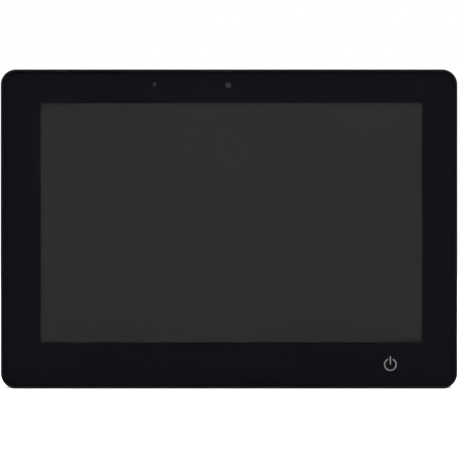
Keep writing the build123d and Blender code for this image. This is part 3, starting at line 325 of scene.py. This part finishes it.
def power_socket(name, body, pin):
    """A black moulded socket with a bright metal pin along its axis."""
    material, tree, shader = start_material(name)
    mount = next(mount for mount in frame["record"]["mounts"] if mount["name"] == "dc_socket")
    axis = mount["pos_m"]
    across = parts_of(tree, place(tree))
    sides = {1: maths(tree, "SUBTRACT", across[1], axis[1]), 2: maths(tree, "SUBTRACT", across[2], axis[2])}
    flat = add(tree, "ShaderNodeCombineXYZ", sides).outputs[0]
    radius = add(tree, "ShaderNodeVectorMath", {0: flat}, operation="LENGTH").outputs["Value"]
    metal_part = within(tree, radius, (mount["dims"]["r_mm"] + PIN_MARGIN_MM) * MM)
    grain = noise(tree, SOCKET_GRAIN, 2)
    dull = blended(tree, grain, shade(body, 0.9), shade(body, 1.1))
    feed(tree, blended(tree, metal_part, dull, shade(pin, 1)), shader.inputs["Base Color"])
    feed(tree, metal_part, shader.inputs["Metallic"])
    feed(tree, ranged(tree, metal_part, 0, 1, 0.5, 0.2), shader.inputs["Roughness"])
    bumped(tree, shader, grain, depth=0.006 * MM, strength=0.4)
    return material


def usb_socket(name, shell, tongue, gold):
    """A bright plated shell, whose tongue is black plastic with a row of gold contacts."""
    material, tree, shader = start_material(name)
    corner_low, corner_high = (Vector(corner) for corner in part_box("usb_c_socket"))
    centre = (corner_low + corner_high) / 2
    across = parts_of(tree, place(tree))
    off = away(tree, across[1], centre.y)
    in_width = within(tree, away(tree, across[2], centre.z), TONGUE_HALF_L)
    in_tongue = maths(tree, "MULTIPLY", within(tree, off, TONGUE_HALF_T), in_width)
    along = maths(tree, "SUBTRACT", across[2], centre.z)
    stripe = within(tree, maths(tree, "PINGPONG", along, CONTACT_PITCH / 2), CONTACT_PITCH / 4)
    face = flipped(tree, within(tree, off, TONGUE_HALF_T - CONTACT_PROUD))
    contact = maths(tree, "MULTIPLY", stripe, face)
    inner = blended(tree, contact, shade(tongue, 1), shade(gold, 1))
    feed(tree, blended(tree, in_tongue, shade(shell, 1), inner), shader.inputs["Base Color"])
    plastic_part = maths(tree, "MULTIPLY", in_tongue, flipped(tree, contact))
    feed(tree, flipped(tree, plastic_part), shader.inputs["Metallic"])
    streak = noise(tree, BRUSH_LINE, 3, (0.1, 1, 1))
    feed(tree, from_noise(tree, streak, 0.18, 0.34), shader.inputs["Roughness"])
    bumped(tree, shader, streak, depth=0.003 * MM, strength=0.4)
    return material


# Linear colours
BORDER_BLACK = (0.0033, 0.0030, 0.0051)
SCREEN_GREY = (0.01725, 0.0172, 0.01715)
ICON_GREY = (0.205, 0.205, 0.2)
# The camera lens grey holds painted light: it is lightened about twice over to make up for the shade in its
# recess behind the hole in the border ink.
CAMERA_GREY_PAINTED_LIGHT = (0.0375, 0.0395, 0.0395)
SENSOR_GREY = (0.027, 0.027, 0.031)
CASE_BLACK = (0.0070, 0.0065, 0.0086)
COVER_BLACK = (0.0082, 0.0078, 0.0096)

cover_glass = clear_sheet("cover_glass", (1, 1, 1, 1), 1.45)
ink = printed_ink("border_ink", BORDER_BLACK)
screen = screen_face("screen_face", SCREEN_GREY)
touch_film = clear_sheet("touch_film", (0.98, 0.98, 0.98, 1), 1.02)
case_black = plastic("case_black", CASE_BLACK, 0.5, shine=0.2)
cover_black = plastic("cover_black", COVER_BLACK, 0.42, grain=0.6 * MM, depth=0.03 * MM, shine=0.4)
key_black = plastic("key_black", (0.012, 0.012, 0.014), 0.3, grain=0.4 * MM, depth=0.006 * MM)
nylon_black = plastic("nylon_black", (0.02, 0.02, 0.02), 0.5)
white_plastic = plastic("white_plastic", (0.78, 0.78, 0.77), 0.4)
ivory_plastic = plastic("ivory_plastic", (0.6, 0.58, 0.5), 0.35)
tape_black = rubber("tape_black", (0.02, 0.02, 0.02))
foam_grey = rubber("foam_grey", (0.09, 0.09, 0.09), 0.9, 0.6 * MM, 0.1 * MM)
foot_rubber = rubber("foot_rubber", (0.028, 0.028, 0.028), 0.75)
pad_blue = rubber("pad_blue", (0.25, 0.35, 0.5), 0.7, 1 * MM)
jacket_black = rubber("jacket_black", (0.03, 0.03, 0.03), 0.5, 0.5 * MM, 0.005 * MM)
lead_red = plastic("lead_red", (0.4, 0.02, 0.02), 0.35)
board_green = circuit_board("board_green")
amber = flat_cable("amber_flex")
amber_level = flat_cable("amber_flex_level", across_axis=2)
film_white = milky("film_white", (0.82, 0.82, 0.8))
guide_clear = milky("guide_clear", (0.75, 0.82, 0.82), 0.12, 1.2 * MM)
reflector_white = milky("reflector_white", (0.9, 0.9, 0.9), 0.25, 4 * MM)
icon_film = milky("icon_film", ICON_GREY, 0.4, 1 * MM)
led_white = milky("led_strip", (0.85, 0.82, 0.6), 0.35, 3 * MM)
# The lens grey is its own colour plus painted light against the shade of its recess.
lens = milky("lens_glass", CAMERA_GREY_PAINTED_LIGHT, 0.08, 3 * MM)
sensor = milky("sensor_plastic", SENSOR_GREY, 0.15, 1 * MM)
cone_black = plastic("cone_black", (0.025, 0.025, 0.028), 0.7, 0.8 * MM, 0.04 * MM)
antenna_film = plastic("antenna_film", (0.03, 0.03, 0.03), 0.3, 2 * MM)
tray_steel = metal("tray_steel", (0.55, 0.55, 0.56), 0.35, (0.02, 1, 1))
plate_aluminium = metal("plate_aluminium", (0.72, 0.73, 0.75), 0.38, (0.02, 1, 1))
zinc_screw = metal("zinc_screw", (0.5, 0.5, 0.5), 0.3)
black_screw = metal("black_screw", (0.05, 0.05, 0.055), 0.4)
brass_turned = metal("brass_turned", (0.75, 0.56, 0.24), 0.28, (1, 0.05, 1))
tin_can = metal("tin_can", (0.65, 0.65, 0.64), 0.32)
sink_black = metal("sink_black", (0.07, 0.07, 0.075), 0.45, (1, 1, 0.03))
nickel = metal("nickel", (0.62, 0.61, 0.58), 0.2)
jack = power_socket("power_socket", (0.018, 0.018, 0.02), (0.66, 0.65, 0.62))
usb = usb_socket("usb_socket", (0.62, 0.61, 0.58), (0.02, 0.02, 0.02), (0.85, 0.65, 0.3))
mic_gold = metal("mic_gold", (0.72, 0.62, 0.38), 0.3)
magnet_steel = metal("magnet_steel", (0.35, 0.35, 0.36), 0.4)
bracket_zinc = metal("bracket_zinc", (0.36, 0.36, 0.37), 0.38, (1, 1, 0.05))
pin_steel = metal("pin_steel", (0.62, 0.62, 0.62), 0.2, (0.05, 1, 1))
stand_coat = plastic("stand_coat", (0.013, 0.013, 0.015), 0.34, 0.7 * MM, 0.02 * MM)
label = label_film("label_film", (0.33, 0.33, 0.34))

NODE_MATERIALS = {
    "cover_glass": cover_glass,
    "border_print": ink,
    "touch_sensor": touch_film,
    "touch_flex": amber,
    "glass_tape": tape_black,
    "front_frame": case_black,
    "lcd_cell": screen,
    "lcd_diffuser_films": film_white,
    "light_guide": guide_clear,
    "backlight_reflector": reflector_white,
    "backlight_led_bar": led_white,
    "lcd_frame": white_plastic,
    "lcd_tray": tray_steel,
    "lcd_foam_pads": foam_grey,
    "lcd_driver_board": board_green,
    "display_flex": amber,
    "chassis_plate": plate_aluminium,
    "chassis_screws": zinc_screw,
    "board_standoffs": brass_turned,
    "main_board": board_green,
    "board_screws": zinc_screw,
    "processor_shield": tin_can,
    "thermal_pad": pad_blue,
    "heat_spreader": sink_black,
    "coin_cell": nickel,
    "dc_jack": jack,
    "usb_c_socket": usb,
    "wifi_antennas": antenna_film,
    "antenna_leads": jacket_black,
    "camera_module": nylon_black,
    "camera_lens": lens,
    "camera_flex": amber,
    "sensor_board": board_green,
    "light_sensor": sensor,
    "microphones": mic_gold,
    "power_key_diffuser": icon_film,
    "power_key_board": board_green,
    "power_key_flex": amber,
    "speaker_frames": nylon_black,
    "speaker_magnets": magnet_steel,
    "speaker_cones": cone_black,
    "speaker_gaskets": foam_grey,
    "speaker_leads": lead_red,
    "rear_cover": cover_black,
    "vesa_inserts": brass_turned,
    "case_screws": black_screw,
    "bottom_feet": foot_rubber,
    "rating_label": label,
    "hinge_brackets": bracket_zinc,
    "hinge_pins": pin_steel,
    "hinge_screws": zinc_screw,
    "stand_leg": stand_coat,
    "stand_foot_pad": foot_rubber,
    "side_key_board": board_green,
    "side_key_switches": nylon_black,
    "side_key_flex": amber_level,
    "volume_up_key": key_black,
    "volume_up_plunger": ivory_plastic,
    "volume_down_key": key_black,
    "volume_down_plunger": ivory_plastic,
}


def dress_nodes():
    for name, piece in nodes.items():
        for material_slot in piece.material_slots:
            material_slot.material = NODE_MATERIALS[name]


# ---------------------------------------------------------------- floor, world and lights

FLOOR_HALF = 30.0
PAPER_CLOUD = 300 * MM
PAPER_TONES = ((0.9, 0.9, 0.9, 1), (0.92, 0.92, 0.92, 1))
MIRRORED_ROOM = 0.6
HORIZON, ZENITH, ROOM_GLOW = 0.12, 0.9, 0.9
SUN_STRENGTH, SUN_RISE, SUN_SOFTNESS = 2.6, 38, 25
TALL_BOX, WIDE_BOX, SQUARE_BOX = (0.5, 1.4), (1.6, 1.2), (0.9, 0.9)


def make_floor():
    """A pale floor. Mirror-like faces don't see it, as under a polarising filter."""
    mesh = bpy.data.meshes.new("floor")
    half = FLOOR_HALF
    corners = [(-half, -half, 0), (half, -half, 0), (half, half, 0), (-half, half, 0)]
    mesh.from_pydata(corners, [], [(0, 1, 2, 3)])
    floor = bpy.data.objects.new("floor", mesh)
    bpy.context.collection.objects.link(floor)
    material, tree, shader = start_material("floor", Roughness=0.9, Specular_IOR_Level=0.0)
    feed(tree, blended(tree, noise(tree, PAPER_CLOUD, 2), *PAPER_TONES), shader.inputs["Base Color"])
    floor.data.materials.append(material)
    floor.visible_glossy = False


def make_world():
    """White to the eye. As light it is dark at the horizon and brighter above and below, and dim in
    reflections, as under a polarising filter."""
    world = bpy.data.worlds.new("world")
    bpy.context.scene.world = world
    world.use_nodes = True
    tree = world.node_tree
    tree.nodes.clear()
    direction = add(tree, "ShaderNodeTexCoord").outputs["Generated"]
    steep = maths(tree, "ABSOLUTE", parts_of(tree, direction)[2])
    glow = ranged(tree, steep, HORIZON, ZENITH, 0.0, ROOM_GLOW)
    path = add(tree, "ShaderNodeLightPath").outputs
    mirrored = ranged(tree, path["Is Glossy Ray"], 0, 1, 1, MIRRORED_ROOM)
    strength = maths(tree, "MAXIMUM", maths(tree, "MULTIPLY", glow, mirrored), path["Is Camera Ray"])
    background = add(tree, "ShaderNodeBackground", {"Color": (1, 1, 1, 1), "Strength": strength})
    output = add(tree, "ShaderNodeOutputWorld")
    feed(tree, background.outputs[0], output.inputs["Surface"])


def make_light(name, place_at, size, power, shines=True):
    """A softbox that looks at the middle of the display. One that doesn't shine shows in no mirror."""
    data = bpy.data.lights.new(name, "AREA")
    data.shape = "RECTANGLE"
    data.size, data.size_y = size
    data.energy = power
    lamp = bpy.data.objects.new(name, data)
    lamp.location = place_at
    aim = MIDDLE - Vector(place_at)
    lamp.rotation_euler = aim.to_track_quat("-Z", "Y").to_euler()
    lamp.visible_glossy = shines
    bpy.context.collection.objects.link(lamp)


def make_sun():
    """Even light from in front and above, so the whole front is equally bright."""
    data = bpy.data.lights.new("sun", "SUN")
    data.energy = SUN_STRENGTH
    data.angle = math.radians(SUN_SOFTNESS)
    lamp = bpy.data.objects.new("sun", data)
    lamp.rotation_euler = (math.radians(90 - SUN_RISE), 0, 0)
    lamp.visible_glossy = False
    bpy.context.collection.objects.link(lamp)


def make_lights():
    make_sun()
    make_light("side_left", (-2.0, -0.6, 1.2), TALL_BOX, 12)
    make_light("side_right", (2.0, -0.6, 1.2), TALL_BOX, 12)
    make_light("top", (0, 0.3, 2.0), WIDE_BOX, 40, shines=False)
    make_light("back_left", (-1.6, 1.5, 1.0), TALL_BOX, 30)
    make_light("back_right", (1.6, 1.6, 1.2), SQUARE_BOX, 36)


make_camera()
dress_nodes()
make_floor()
make_world()
make_lights()
bpy.context.scene.view_settings.view_transform = "Standard"
